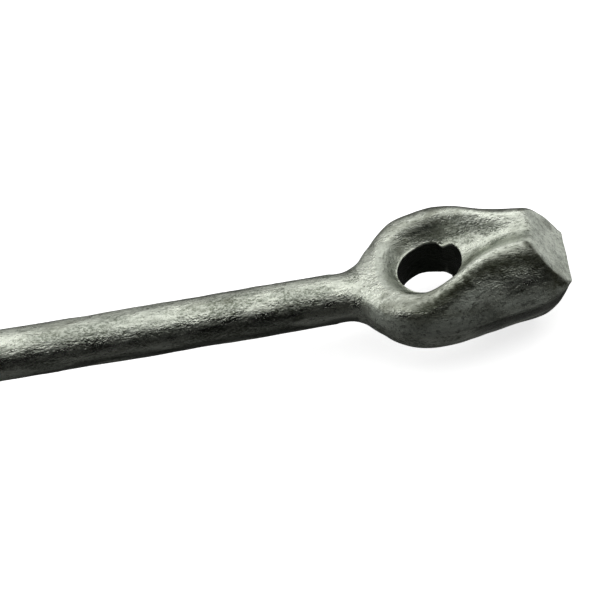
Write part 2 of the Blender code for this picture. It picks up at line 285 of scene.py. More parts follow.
def side_height(x, y, lag):
    """Height outside the ridges: round beside the hole, a straighter draft on the wedge."""
    spread = ridge_spread(x)
    out = (abs(y) - spread) / (half_width(x) - spread)
    fullness = side_fullness(x, y, lag)
    return ridge_height(x, lag) * max(1 - min(out, 1.0) ** fullness, 0.0) ** (1 / fullness)


def head_height(x, y, rim, lag):
    """Height of the head above the parting plane, cut off by the end face."""
    inside = abs(y) < ridge_spread(x)
    height = groove_height(x, y, rim, lag) if inside else side_height(x, y, lag)
    roof = ROOF_SLOPE * (END_FROM_EYE - x)
    if roof > height + ROOF_ROUNDING * 2 or height < ROOF_ROUNDING * 2:
        return min(height, roof)
    return max(smooth_min(height, roof, ROOF_ROUNDING), 0.0)


def side_outline():
    """Evenly spaced points of the outline's +Y side, from the neck to the middle of the end edge."""
    steps = int((END_FROM_EYE + NECK_FROM_EYE) / OUTLINE_FINE_STEP)
    fine = [-NECK_FROM_EYE + OUTLINE_FINE_STEP * i for i in range(steps)] + [END_FROM_EYE]
    path = [Vector((x, half_width(x))) for x in fine]
    end_width = path[-1].y
    for i in range(1, END_EDGE_STEPS + 1):
        path.append(Vector((END_FROM_EYE, end_width * (1 - i / END_EDGE_STEPS))))
    points = [path[0]]
    travelled = 0.0
    for before, after in zip(path, path[1:]):
        travelled += (after - before).length
        if travelled >= OUTLINE_STEP:
            points.append(after)
            travelled = 0.0
    if points[-1].y > NEARLY_ZERO:
        points.append(path[-1])
    return points


def hole_radius(angle, layer):
    """The punched hole's radius, from layer 0 at its upper rim to layer 1 at its lower one."""
    ragged = uneven_around(angle, HOLE_WAVES, HOLE_PATTERN + layer * HOLE_PATTERN_CHANGE)
    left_over = bell(angle - LEFT_OVER_AT, LEFT_OVER_SPREAD)
    radius = HOLE_RADIUS + HOLE_WIDER * math.cos(angle - HOLE_WIDER_AT) + HOLE_RAGGED * ragged
    return radius - LEFT_OVER * left_over * (1 - layer)


def beyond_rim(x, y):
    """How far a point lies outside the hole's upper rim, seen from above."""
    return math.hypot(x, y) - hole_radius(math.atan2(y, x), 0.0)


def rim_level(x, y):
    """Height of the hole's upper rim on the same side of the hole as a point."""
    angle = math.atan2(y, x)
    radius = hole_radius(angle, 0.0)
    return head_height(radius * math.cos(angle), radius * math.sin(angle), RIM_HEIGHT, 0.0)


def rim_lip(gap, angle):
    """A thin raised lip of trimmed metal around the hole, with a shallow gutter outside it."""
    strength = 0.6 + 0.4 * uneven_around(angle, LIP_WAVES, LIP_PATTERN)
    lip = LIP_HEIGHT * strength * bell(gap, LIP_WIDTH)
    gutter = GUTTER_DEPTH * bell(gap - GUTTER_FROM_RIM, GUTTER_WIDTH)
    return lip - gutter


def row_share(v):
    """Where a row lies between the hole's rim and the outline: rows close up towards both."""
    return 0.7 * v + 1.3 * v**2 - v**3


def add_loop_faces(bm, first, second):
    for i in range(len(first)):
        j = (i + 1) % len(first)
        bm.faces.new((first[i], first[j], second[j], second[i]))


def build_head(bm):
    """The head's surface. Returns the ring of vertices at the neck, by rising angle from +Y."""
    side = side_outline()
    outline = [Vector((p.x, -p.y)) for p in side] + list(reversed(side[:-1]))
    angles = [math.pi * k / HALF_TURN_STEPS for k in range(1, HALF_TURN_STEPS)]
    neck = [Vector((-NECK_FROM_EYE, SHANK_RADIUS * math.cos(a))) for a in angles]
    boundary = outline + neck
    shells = []
    for sign, rim_height, lag in ((1, RIM_HEIGHT, 0.0), (-1, UNDER_RIM_HEIGHT, UNDER_LAG)):
        rows = []
        for row in range(ROWS + 1):
            share = row_share(row / ROWS)
            ring = []
            for index, edge in enumerate(boundary):
                on_outline = row == ROWS and index < len(outline)
                if on_outline and sign < 0:
                    ring.append(shells[0][ROWS][index])
                    continue
                angle = math.atan2(edge.y, edge.x)
                radius = hole_radius(angle, 0.0 if sign > 0 else 1.0)
                rim = edge.normalized() * radius
                place = rim.lerp(edge, share)
                height = 0.0 if on_outline else head_height(place.x, place.y, rim_height, lag)
                if row == ROWS and not on_outline:
                    height = math.sqrt(max(SHANK_RADIUS**2 - edge.y**2, 0.0))
                height += rim_lip((place - rim).length, angle)
                ring.append(bm.verts.new((EYE_X + place.x, place.y, sign * height)))
            rows.append(ring)
        for first, second in zip(rows, rows[1:]):
            add_loop_faces(bm, first, second)
        shells.append(rows)
    build_throat(bm, boundary, shells[0][0], shells[1][0])
    top = shells[0][ROWS]
    low = shells[1][ROWS]
    count = len(outline)
    return [top[count - 1]] + top[count:] + [top[0]] + list(reversed(low[count:]))


def build_throat(bm, boundary, top, low):
    """The wall of the hole, torn a little and widest in its middle."""
    previous = top
    for layer in range(1, THROAT_ROWS):
        share = (1 - math.cos(math.pi * layer / THROAT_ROWS)) / 2
        ring = []
        for index, edge in enumerate(boundary):
            angle = math.atan2(edge.y, edge.x)
            torn = uneven_around(angle, THROAT_WAVES, share * THROAT_PATTERN_CHANGE)
            bulge = THROAT_BULGE * math.sin(math.pi * share)
            radius = hole_radius(angle, share) + bulge + THROAT_TORN * torn
            place = edge.normalized() * radius
            height = top[index].co.z + (low[index].co.z - top[index].co.z) * share
            ring.append(bm.verts.new((EYE_X + place.x, place.y, height)))
        add_loop_faces(bm, previous, ring)
        previous = ring
    add_loop_faces(bm, previous, low)


def build_shank(bm, neck):
    """Rings along the plain shank, from the neck to the thread. Returns the last one."""
    count = round((NECK_X - THREAD_START_X) / SHANK_STEP)
    ring = neck
    for i in range(1, count + 1):
        x = NECK_X + (THREAD_START_X - NECK_X) * i / count
        shoulder = smooth_step(-x, -THREAD_START_X - SHOULDER_LENGTH, -THREAD_START_X)
        ring = add_ring(bm, ring, x, SHANK_RADIUS - SHOULDER_DROP * shoulder)
    return ring


def add_ring(bm, before, x, radius):
    ring = []
    for k in range(len(before)):
        angle = 2 * math.pi * k / len(before)
        ring.append(bm.verts.new((x, radius * math.cos(angle), radius * math.sin(angle))))
    add_loop_faces(bm, before, ring)
    return ring


def crest_share(x, angle):
    """1 on the thread's crests and 0 in its roots, in step with the CAD thread."""
    phase = ((x - TIP_X) / PITCH - angle / (2 * math.pi) - THREAD_PHASE) % 1.0
    from_crest = min(phase, 1 - phase)
    return 1 - smooth_step(from_crest, *FLANK)


def thread_radius(x, angle):
    """Radius of the rolled thread, worn round by the zinc, with its run-out and the bolt's point."""
    run_out = smooth_step(x, THREAD_START_X - RUN_OUT, THREAD_START_X)
    root = ROOT_RADIUS + (CREST_RADIUS - ROOT_RADIUS) * run_out
    radius = root + (CREST_RADIUS - root) * crest_share(x, angle)
    point = POINT_RADIUS + (SHANK_RADIUS - POINT_RADIUS) * (x - TIP_X) / POINT_LENGTH
    return min(radius, point)


def build_thread(bm, ring):
    """Sheared rings that follow the helix, flattened against the thread's two ends."""
    count = len(ring)
    turns = math.ceil((THREAD_START_X - TIP_X) / PITCH) + 1
    for i in range(turns * THREAD_ROWS + 1):
        verts = []
        for k in range(count):
            angle = 2 * math.pi * k / count
            x = FIRST_THREAD_X + PITCH * (k / count) - PITCH * i / THREAD_ROWS
            x = min(max(x, TIP_X), FIRST_THREAD_X)
            radius = thread_radius(x, angle)
            verts.append(bm.verts.new((x, radius * math.cos(angle), radius * math.sin(angle))))
        add_loop_faces(bm, ring, verts)
        ring = verts
    bm.faces.new(ring)


def forging_surface(co):
    """How far the skin stands off the drawn shape at a point: hammer unevenness, zinc runs, lumps and pits."""
    along = Vector((co.x * RUN_STRETCH, co.y, co.z))
    broad = uneven(co, HAMMERED)
    runs = uneven(along, (ZINC_RUNS,))
    lump = max(wander(co, *LUMP_WAVE) - LUMP_THRESHOLD, 0) * LUMP_HEIGHT
    pit = max(wander(along, *PIT_WAVE) - PIT_THRESHOLD, 0) * PIT_DEPTH
    on_shank = 1 - HEAD_EVENER * smooth_step(co.x, NECK_X - EVENER_REACH, NECK_X)
    return broad + runs + (lump - pit) * on_shank


def off_thread(co):
    start = -THREAD_START_X - THREAD_EVENER_REACH
    end = -THREAD_START_X + THREAD_EVENER_REACH
    return 1 - THREAD_EVENER * smooth_step(-co.x, start, end)


def displace(bm, surface, keep):
    """Move each point along its normal by what surface says, times the share that keep leaves of it."""
    bm.normal_update()
    moves = [(vert, vert.normal * surface(vert.co) * keep(vert.co)) for vert in bm.verts]
    for vert, move in moves:
        vert.co += move


def soften(bm):
    """Round off the forging's corners: well on the ring and the neck, a little on the wedge."""
    head = [vert for vert in bm.verts if vert.co.x > NECK_X - SOFT_PAST_NECK]
    relax(bm, head, SOFTEN_ALL)
    inner = [vert for vert in head if not is_edge(vert.co)]
    relax(bm, inner, SOFTEN_INNER)
    relax(bm, [vert for vert in inner if vert.co.x < EYE_X + SOFT_RING_END], SOFTEN_RING)


def is_edge(co):
    """Whether a point is on the hole's wall or rim, or near the parting line."""
    return beyond_rim(co.x - EYE_X, co.y) < RIM_EDGE or abs(co.z) < PARTING_EDGE


def relax(bm, verts, times):
    for _ in range(times):
        bmesh.ops.smooth_vert(
            bm, verts=verts, factor=0.5, use_axis_x=True, use_axis_y=True, use_axis_z=True
        )


def raise_flash(bm):
    """The trimmed parting line, a low broken rib around the head, higher on the wedge than on the ring."""
    for vert in bm.verts:
        x = vert.co.x - EYE_X
        if abs(vert.co.z) < NEARLY_ZERO and x > -NECK_FROM_EYE:
            strength = FLASH_ON_RING + (1 - FLASH_ON_RING) * smooth_step(x, *FLASH_START)
            broken = 0.65 + 0.5 * wander(vert.co, *FLASH_WAVE)
            out = Vector((x, vert.co.y, 0)).normalized()
            vert.co += out * FLASH * strength * broken


def set_head(bm):
    for vert in bm.verts:
        vert.co += HEAD_SET * smooth_step(vert.co.x, NECK_X - HEAD_SET_REACH, EYE_X + HEAD_SET_REACH)


def make_bolt():
    bm = bmesh.new()
    neck = build_head(bm)
    last = build_shank(bm, neck)
    build_thread(bm, last)
    bmesh.ops.remove_doubles(bm, verts=bm.verts, dist=MERGE_DISTANCE)
    bmesh.ops.dissolve_degenerate(bm, edges=bm.edges, dist=NEARLY_ZERO)
    bmesh.ops.recalc_face_normals(bm, faces=bm.faces)
    soften(bm)
    raise_flash(bm)
    displace(bm, forging_surface, off_thread)
    set_head(bm)
    return finished_object("bolt_forging", bm)


def finished_object(name, bm):
    mesh = bpy.data.meshes.new(name)
    bm.to_mesh(mesh)
    bm.free()
    mesh.shade_smooth()
    obj = bpy.data.objects.new(name, mesh)
    bpy.context.scene.collection.objects.link(obj)
    return obj


# ---------------------------------------------------------------- washer and nuts

WASHER_BORE_RADIUS = 11 / 32 * INCH
WASHER_CORNER_RADIUS = 0.0392
THREAD_PLAY = 0.0006
NUT_CROWN_RADIUS = 0.0128
NUT_CROWN_FALL = 0.0024 / 0.0043
NUT_CORNER_RADIUS = 0.0171
LOCK_DISH = 0.0022
LOCK_HUB_RADIUS = 0.0095
LOCK_CORNER_RADIUS = 0.0168
CORNER_ROUNDING = 0.0005
BORE_EVEN = (0.0085, 0.0095)  # the surface's unevenness starts between these radii
ROLLED = ((0.00010, 90, 23), (0.00004, 330, 29))
ROLLED_SET_BACK = 0.00010
PRESSED = ((0.00006, 140, 31), (0.00003, 500, 37))
PRESSED_SET_BACK = 0.00006
AROUND = 160
FACE_ROWS = 12
ARC_STEPS = 4
EDGE_STEPS = 5


def square_radius(angle, half_side, corner_radius):
    """Distance from the axis to the outline of a square whose corners are turned down to corner_radius."""
    flat = half_side / max(abs(math.cos(angle)), abs(math.sin(angle)))
    return smooth_min(flat, corner_radius, CORNER_ROUNDING)


def nut_bore(x, angle):
    """Radius of a nut's own thread, in step with the bolt's."""
    return ROOT_RADIUS + THREAD_PLAY + (CREST_RADIUS - ROOT_RADIUS) * crest_share(x, angle)


def block_loop(angle, spec):
    """One closed section through a square block, as points (x, radius).

    It runs down the bore, out over the back, up the edge and in over the front.
    """
    low, high = spec["low"], spec["high"]
    edge, flare = spec["edge"], spec["flare"]
    outer = square_radius(angle, spec["half_side"], spec["corner"])
    points = []
    for i in range(spec["bore_rows"] + 1):
        x = high - (high - low) * i / spec["bore_rows"]
        mouth = max(flare - min(x - low, high - x), 0.0)
        radius = spec["bore"](x, angle) + mouth
        points.append((x + spec["rise"](radius, x), radius))
    inner = points[-1][1]
    for j in range(1, FACE_ROWS + 1):
        radius = inner + (outer - edge - inner) * j / FACE_ROWS
        points.append((low + spec["rise"](radius, low), radius))
    low_corner = low + spec["rise"](outer, low)
    high_corner = high + spec["rise"](outer, high)
    for j in range(1, ARC_STEPS + 1):
        turn = math.pi / 2 * j / ARC_STEPS
        points.append((low_corner + edge * (1 - math.cos(turn)), outer - edge + edge * math.sin(turn)))
    for j in range(1, EDGE_STEPS):
        points.append((low_corner + edge + (high_corner - low_corner - edge * 2) * j / EDGE_STEPS, outer))
    for j in range(ARC_STEPS + 1):
        turn = math.pi / 2 * j / ARC_STEPS
        points.append((high_corner - edge * (1 - math.sin(turn)), outer - edge + edge * math.cos(turn)))
    inner = points[0][1]
    for j in range(1, FACE_ROWS):
        radius = outer - edge + (inner - outer + edge) * j / FACE_ROWS
        points.append((high + spec["rise"](radius, high), radius))
    return points


def off_bore(co):
    return smooth_step(math.hypot(co.y, co.z), *BORE_EVEN)


def make_block(name, node, spec, surface):
    """A square block around the bolt, in the place and size of its CAD node."""
    low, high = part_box(node)
    spec = dict(spec, low=low.x, high=high.x - spec.get("set_back", 0.0), half_side=(high.y - low.y) / 2)
    bm = bmesh.new()
    loops = []
    for k in range(AROUND):
        angle = 2 * math.pi * (k + 0.5) / AROUND
        loop = []
        for x, radius in block_loop(angle, spec):
            loop.append(bm.verts.new((x, radius * math.cos(angle), radius * math.sin(angle))))
        loops.append(loop)
    for k in range(AROUND):
        add_loop_faces(bm, loops[k], loops[(k + 1) % AROUND])
    bmesh.ops.recalc_face_normals(bm, faces=bm.faces)
    displace(bm, surface, off_bore)
    return finished_object(name, bm)


def rolled_surface(co):
    return uneven(co, ROLLED) - ROLLED_SET_BACK


def pressed_surface(co):
    return uneven(co, PRESSED) - PRESSED_SET_BACK


def make_washer():
    spec = {
        "edge": 0.0007,
        "flare": 0.0003,
        "corner": WASHER_CORNER_RADIUS,
        "bore_rows": 6,
        "bore": lambda x, angle: WASHER_BORE_RADIUS,
        "rise": lambda radius, x: 0.0,
    }
    return make_block("washer_plate", "square_washer", spec, rolled_surface)


def make_nut():
    low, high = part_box("square_nut")

    def crown(radius, x):
        on_back = x < (low.x + high.x) / 2
        return max(radius - NUT_CROWN_RADIUS, 0.0) * NUT_CROWN_FALL * on_back

    spec = {
        "edge": 0.0004,
        "flare": 0.0008,
        "corner": NUT_CORNER_RADIUS,
        "bore_rows": 60,
        "bore": nut_bore,
        "rise": crown,
    }
    return make_block("nut_body", "square_nut", spec, pressed_surface)


def make_lock_nut():
    low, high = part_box("spring_lock_nut")
    half_side = (high.y - low.y) / 2

    def dish(radius, x):
        return LOCK_DISH * smooth_step(radius, LOCK_HUB_RADIUS, half_side)

    spec = {
        "edge": 0.0005,
        "flare": 0.0004,
        "corner": LOCK_CORNER_RADIUS,
        "bore_rows": 20,
        "bore": nut_bore,
        "rise": dish,
        "set_back": LOCK_DISH,
    }
    return make_block("lock_nut_sheet", "spring_lock_nut", spec, pressed_surface)


# ---------------------------------------------------------------- galvanised zinc

# Patterns in the zinc, as (scale, detail, roughness), and the values between which each one fades in
BLOTCHES, BLOTCH_EDGE = (170, 5, 0.66), (0.42, 0.58)
GRIT, GRIT_EDGE = (1500, 3, 0.7), (0.42, 0.58)
PRICKS, PRICK_EDGE = (1300, 4, 0.65), (0.33, 0.42)
SMEARS, SMEAR_EDGE = (85, 6, 0.68), (0.50, 0.68)
LOOSE_CHALK, LOOSE_CHALK_EDGE = (60, 6, 0.66), (0.51, 0.60)
CRACKLE, CRACKLE_EDGE = (480, 5, 0.75), (0.38, 0.50)
SHEEN, SHEEN_EDGE = (420, 4, 0.6), (0.3, 0.7)
DENTS = (230, 3, 0.5)
LUMPS = (760, 3, 0.6)
GRAINS = (2100, 2, 0.5)
GRIT_STRETCH = (0.7, 1, 1)
LUMP_STRETCH = (0.6, 1, 1)
GRAIN_STRETCH = (0.8, 1, 1)
EVEN_STRETCH = (1, 1, 1)

LOOSE_CHALK_AMOUNT = 0.22
CHALK_AND_LIGHT_AMOUNT = 0.78
PRICK_AMOUNT = 0.75
DIRT_AND_SHADE_BETWEEN_GRIT = 0.55
GRIT_ON_DULL = 0.5
GRIT_ON_HIGHLIGHT = 0.85
STAIN_AND_SHADE_HIDE_METAL = 0.5
CHALK_AND_LIGHT_HIDE_METAL = 0.58
SMOOTHEST = 0.19
ROUGHEST = 0.37
COVER_ROUGHER = 0.25
DENT_HEIGHT = 0.00025
BUMP_LUMP_HEIGHT = 0.00028
BUMP_GRAIN_HEIGHT = 0.00020

ZINC = (0.74, 0.78, 0.67, 1)
DULL_ZINC = (0.235, 0.26, 0.205, 1)
GRIT_ZINC = (0.95, 0.99, 0.88, 1)
# Olive of the dirt, also used for painted shade
OLIVE_DIRT_AND_SHADE = (0.088, 0.090, 0.042, 1)
CHALK_AND_LIGHT_CRACK = (0.20, 0.215, 0.19, 1)
CHALK_AND_LIGHT_WHITE = (0.58, 0.625, 0.55, 1)
PRICK_DARK = (0.075, 0.085, 0.055, 1)
# Near-black of the painted shade
PAINTED_SHADE_BLACK = (0.015, 0.020, 0.012, 1)
WASHER_DULL = (0.5, 0.51, 0.49, 1)
NUT_ZINC = (0.60, 0.61, 0.58, 1)
NUT_DULL = (0.38, 0.39, 0.37, 1)
LOCK_ZINC = (0.72, 0.72, 0.66, 1)
LOCK_DULL = (0.52, 0.52, 0.47, 1)


class Nodes:
    """Short calls that add and link shader nodes."""

    def __init__(self, material):
        self.tree = material.node_tree
        self.coordinates = self.tree.nodes.new("ShaderNodeTexCoord").outputs["Object"]

    def add(self, kind, inputs, **settings):
        node = self.tree.nodes.new(kind)
        for name, value in settings.items():
            setattr(node, name, value)
        for name, value in inputs.items():
            self.set(node.inputs[name], value)
        return node

    def set(self, socket, value):
        if isinstance(value, bpy.types.NodeSocket):
            self.tree.links.new(value, socket)
        else:
            socket.default_value = value

    def noise(self, pattern, seed, stretch):
        scale, detail, roughness = pattern
        offset = (seed, seed * 0.6, seed * 0.3)
        placing = {"Vector": self.coordinates, "Scale": stretch, "Location": offset}
        vector = self.add("ShaderNodeMapping", placing).outputs["Vector"]
        inputs = {"Vector": vector, "Scale": scale, "Detail": detail, "Roughness": roughness}
        return self.add("ShaderNodeTexNoise", inputs).outputs["Fac"]

    def painted(self, name):
        return self.add("ShaderNodeAttribute", {}, attribute_name=name).outputs["Fac"]

    def between(self, value, low, high, to_low=0.0, to_high=1.0):
        inputs = {"Value": value, "From Min": low, "From Max": high, "To Min": to_low, "To Max": to_high}
        return self.add("ShaderNodeMapRange", inputs, interpolation_type="SMOOTHSTEP").outputs["Result"]

    def math(self, operation, a, b):
        node = self.tree.nodes.new("ShaderNodeMath")
        node.operation = operation
        self.set(node.inputs[0], a)
        self.set(node.inputs[1], b)
        return node.outputs[0]

    def mix(self, factor, first, second):
        node = self.tree.nodes.new("ShaderNodeMix")
        node.data_type = "RGBA"
        self.set(node.inputs["Factor"], factor)
        self.set(node.inputs["A"], first)
        self.set(node.inputs["B"], second)
        return node.outputs["Result"]

    def bump(self, height, distance, normal=None):
        node = self.add("ShaderNodeBump", {"Height": height, "Distance": distance, "Strength": 1.0})
        if normal is not None:
            self.set(node.inputs["Normal"], normal)
        return node.outputs["Normal"]


def galvanised(name, seed, bright, dull, dirt_amount, streak=0.35, grain=1.0):
    """Hot-dip zinc: bright metal broken up by dull grain, chalky patches, pin-pricks and smears of dirt, with
    painted shade, painted highlights and painted light read from amounts stored on the mesh.
    """
    material = bpy.data.materials.new(name)
    material.use_nodes = True
    n = Nodes(material)
    shader = material.node_tree.nodes["Principled BSDF"]
    along = (streak, 1, 1)

    blotch = n.between(n.noise(BLOTCHES, seed, along), *BLOTCH_EDGE)
    grit = n.between(n.noise(GRIT, seed + 1, GRIT_STRETCH), *GRIT_EDGE)
    prick = n.between(n.noise(PRICKS, seed + 2, along), *PRICK_EDGE, 1.0, 0.0)
    smear = n.between(n.noise(SMEARS, seed + 3, along), *SMEAR_EDGE)
    # Olive dirt, with painted shade beside the ridges and on the far wall, stored on the forging
    dirt_and_painted_shade = n.math("MULTIPLY", n.painted("dirt_and_painted_shade"), n.between(grit, 0.0, 1.0, DIRT_AND_SHADE_BETWEEN_GRIT, 1.0))
    stain_and_shade = n.math("MAXIMUM", n.math("MULTIPLY", smear, dirt_amount), dirt_and_painted_shade)
    loose_chalk = n.between(n.noise(LOOSE_CHALK, seed + 8, along), *LOOSE_CHALK_EDGE)
    # Chalk, with painted light and painted reflection stored on the forging
    chalk_and_painted_light = n.math("MAXIMUM", n.math("MULTIPLY", loose_chalk, LOOSE_CHALK_AMOUNT), n.painted("chalk_and_painted_light"))
    # Painted shade, stored on the forging, mixed in as near-black
    painted_shade = n.painted("painted_shade")
    # Painted highlights, stored on the forging, mixed in as bright zinc with more grit
    painted_highlight = n.painted("bright")

    colour = n.mix(n.math("MAXIMUM", blotch, painted_highlight), dull, bright)
    grit_amount = n.between(painted_highlight, 0.0, 1.0, GRIT_ON_DULL, GRIT_ON_HIGHLIGHT)
    colour = n.mix(n.math("MULTIPLY", grit, grit_amount), colour, GRIT_ZINC)
    crackle = n.between(n.noise(CRACKLE, seed + 9, EVEN_STRETCH), *CRACKLE_EDGE)
    chalk_and_light_colour = n.mix(crackle, CHALK_AND_LIGHT_CRACK, CHALK_AND_LIGHT_WHITE)
    colour = n.mix(n.math("MULTIPLY", chalk_and_painted_light, CHALK_AND_LIGHT_AMOUNT), colour, chalk_and_light_colour)
    colour = n.mix(stain_and_shade, colour, OLIVE_DIRT_AND_SHADE)
    colour = n.mix(n.math("MULTIPLY", prick, PRICK_AMOUNT), colour, PRICK_DARK)
    colour = n.mix(painted_shade, colour, PAINTED_SHADE_BLACK)
    n.set(shader.inputs["Base Color"], colour)

    stain_and_shade_cover = n.math("MULTIPLY", stain_and_shade, STAIN_AND_SHADE_HIDE_METAL)
    chalk_and_light_cover = n.math("MULTIPLY", chalk_and_painted_light, CHALK_AND_LIGHT_HIDE_METAL)
    bare = n.between(n.math("MAXIMUM", stain_and_shade_cover, chalk_and_light_cover), 0.0, 1.0, 1.0, 0.0)
    n.set(shader.inputs["Metallic"], n.math("MAXIMUM", bare, painted_shade))
    rough = n.between(n.noise(SHEEN, seed + 4, along), *SHEEN_EDGE, SMOOTHEST, ROUGHEST)
    rougher = n.math("MULTIPLY", n.math("MAXIMUM", chalk_and_painted_light, stain_and_shade), COVER_ROUGHER)
    n.set(shader.inputs["Roughness"], n.math("ADD", rough, rougher))

    skin = n.bump(n.noise(DENTS, seed + 5, along), DENT_HEIGHT * grain)
    skin = n.bump(n.noise(LUMPS, seed + 6, LUMP_STRETCH), BUMP_LUMP_HEIGHT * grain, skin)
    skin = n.bump(n.noise(GRAINS, seed + 7, GRAIN_STRETCH), BUMP_GRAIN_HEIGHT * grain, skin)
    n.set(shader.inputs["Normal"], skin)
    return material


# ---------------------------------------------------------------- paint on the forging, read by the zinc: dirt, chalk, painted shade, painted highlights and painted light

SHANK_PAINT_END = -0.024

# Blobs of dirt and of painted shade: centre, reach along each axis, and amount
CORNER_GRIME = ((0.037, -0.0150, 0.004), (0.006, 0.004, 0.004), 1.0)
HOLLOW_GRIME = ((-0.009, 0.009, 0.006), (0.004, 0.004, 0.003), 0.7)
# Painted shade on the funnel's far wall, in olive and in black
FAR_WALL_OLIVE_SHADE = ((-0.0005, 0.0125, 0.0078), (0.0080, 0.0028, 0.0030), 0.8)
FAR_WALL_BLACK_SHADE = ((-0.001, 0.0132, 0.0090), (0.0085, 0.0026, 0.0028), 0.6)
DIRT_AND_SHADE_WAVE = (300, 41)
CHALK_WAVE = (120, 43)
PATCH_WAVE = (210, 47)
PATCH_STRETCH = 0.25
PATCH_EDGE = (-0.05, 0.10)

# Painted shade: the dark band a little outside each ridge, and the dark corner of the end face
BAND_FIRST_X, BAND_LAST_X = -0.02, 0.043
BAND_RAGGED = 0.0015
BAND_FINENESS = 600
BAND_START = (-0.016, 0.002)
BAND_NOSE = (0.014, 0.024)
BAND_OUT = 0.0034
BAND_FURTHER_OUT = 0.0014  # on the nose
BAND_WIDTH = 0.0018
BAND_WIDER = 0.0010  # on the nose
BAND_LOWEST = 0.004
CORNER_AMOUNT = 0.8
CORNER_BELOW_END = 0.0022
CORNER_WIDTH = 0.0014
END_FACE_EDGE = (0.0004, 0.0010)

# Painted shade
SHANK_SHADE = 0.8
SHANK_SHADE_EDGE = (-0.001, 0.002)
THROAT_SHADE = 0.95
THROAT_EDGE = (0.0010, 0.0014)
THROAT_TOP_FADE = (0.0006, 0.0003)  # depths below the rim
BAND_SHADE = 0.7
FLASH_SHADE = 0.6
FLASH_SHADE_START = (0.008, 0.014)
FLASH_SHADE_TOP = (-0.0006, 0.0)
FLASH_SHADE_FOOT = (-0.008, -0.004)

# Chalk, with painted reflection under the shank and painted light inside the ridge at -Y
# Painted reflection: pale chalk-coloured patches under the shank
SHANK_REFLECTION = 0.9
SHANK_REFLECTION_EDGE = (-0.001, 0.003)
SIDE_CHALK_START = (-0.024, -0.018)
SIDE_CHALK_OUT = (0.003, 0.006)  # distances outside the ridge
SIDE_CHALK_TOP = (0.62, 0.82)  # shares of the ridge's height
PARTING_FADE = (-0.0006, 0.0006)
WEDGE_CHALK_LOSS = 0.8
WEDGE_CHALK_X = (0.014, 0.026)
WEDGE_CHALK_Z = (0.002, 0.008)
END_CHALK = 0.62
INNER_CHALK = 0.25
INNER_CHALK_IN = 0.0028
INNER_CHALK_WIDTH = 0.0022
INNER_CHALK_START = (-0.006, 0.002)
INNER_CHALK_FADE = (0.016, 0.026)
# Painted light: chalk-coloured paleness inside the ridge at -Y
NEAR_PAINTED_LIGHT = 0.55
NEAR_PAINTED_LIGHT_IN = 0.0035
NEAR_PAINTED_LIGHT_WIDTH = 0.0030
NEAR_PAINTED_LIGHT_START = (0.006, 0.013)
BACK_CHALK = 0.5
BACK_CHALK_START = (0.004, 0.010)
BACK_CHALK_REACH = 0.011
BACK_CHALK_EDGE = (0.0002, 0.001)

# Painted highlights in bright zinc
BRIGHT_FIRST_X = -0.022
CREST_IN = 0.0008
CREST_WIDTH = 0.0022
CREST_LOWEST = (0.006, 0.008)
BRIGHT_END_EDGE = (0.0002, 0.0008)
BRIGHT_FLASH = 0.6
BRIGHT_FLASH_WIDTH = 0.00025
BRIGHT_FLASH_START = (0.011, 0.012)
RIM_WIDTH = 0.0003
BRIGHT_BACK = 0.8
BRIGHT_BACK_START = (0.005, 0.011)
BRIGHT_BACK_HEIGHT = (0.6, 0.8)  # shares of the ridge's height


def paint(obj, name, amount):
    """Store an amount for each point, which the zinc material reads."""
    attribute = obj.data.attributes.new(name, "FLOAT", "POINT")
    attribute.data.foreach_set("value", [amount(vert.co) for vert in obj.data.vertices])


def blob(place, centre, reach, amount):
    """The amount at centre, falling to nearly 0 at twice reach away."""
    offset = [(value - middle) / size for value, middle, size in zip(place, centre, reach)]
    return amount * math.exp(-sum(d * d for d in offset))


def from_hole(co):
    """A point of the head relative to the middle of the hole, as (x, y, z) of the undisturbed shape."""
    return co.x - EYE_X, co.y - HEAD_SET.y, co.z - HEAD_SET.z


def below_end(x, z):
    """How far a point lies below the end face, along Z: about 0 on the face itself."""
    return ROOF_SLOPE * (END_FROM_EYE - x) - abs(z)


def shank_reflection_patch(co):
    """Patches of painted reflection, long ones along the shank, with painted shade between them."""
    return smooth_step(wander(Vector((co.x * PATCH_STRETCH, co.y, co.z)), *PATCH_WAVE), *PATCH_EDGE)


def under_ridge(x, y, z):
    """Painted shade: a dark band a little outside each ridge, and along the corner of the end face."""
    if not BAND_FIRST_X < x < BAND_LAST_X or abs(z) < 0.001:
        return 0.0
    ragged = BAND_RAGGED * noise.noise(Vector((x, y, z)) * BAND_FINENESS)
    nose = smooth_step(x, *BAND_NOSE)
    outside = abs(y) - ridge_spread(x) - BAND_OUT - BAND_FURTHER_OUT * nose + ragged
    band = bell(outside, BAND_WIDTH + BAND_WIDER * nose)
    band *= smooth_step(x, *BAND_START) * (abs(z) > BAND_LOWEST)
    below = below_end(x, z)
    corner = CORNER_AMOUNT * bell(below - CORNER_BELOW_END + ragged, CORNER_WIDTH)
    corner *= abs(y) > ridge_spread(x)
    return max(band, corner) * smooth_step(below, *END_FACE_EDGE)


def bolt_dirt_and_painted_shade(co):
    """Olive dirt in the funnel and low on the wedge's near side, and painted shade outside the ridges and on
    the funnel's far wall.
    """
    place = from_hole(co)
    patchy = 0.5 + 0.8 * wander(co, *DIRT_AND_SHADE_WAVE)
    smears = blob(place, *CORNER_GRIME) + blob(place, *HOLLOW_GRIME) + blob(place, *FAR_WALL_OLIVE_SHADE)
    return min(max(smears * patchy, 0.0) + under_ridge(*place), 1.0)


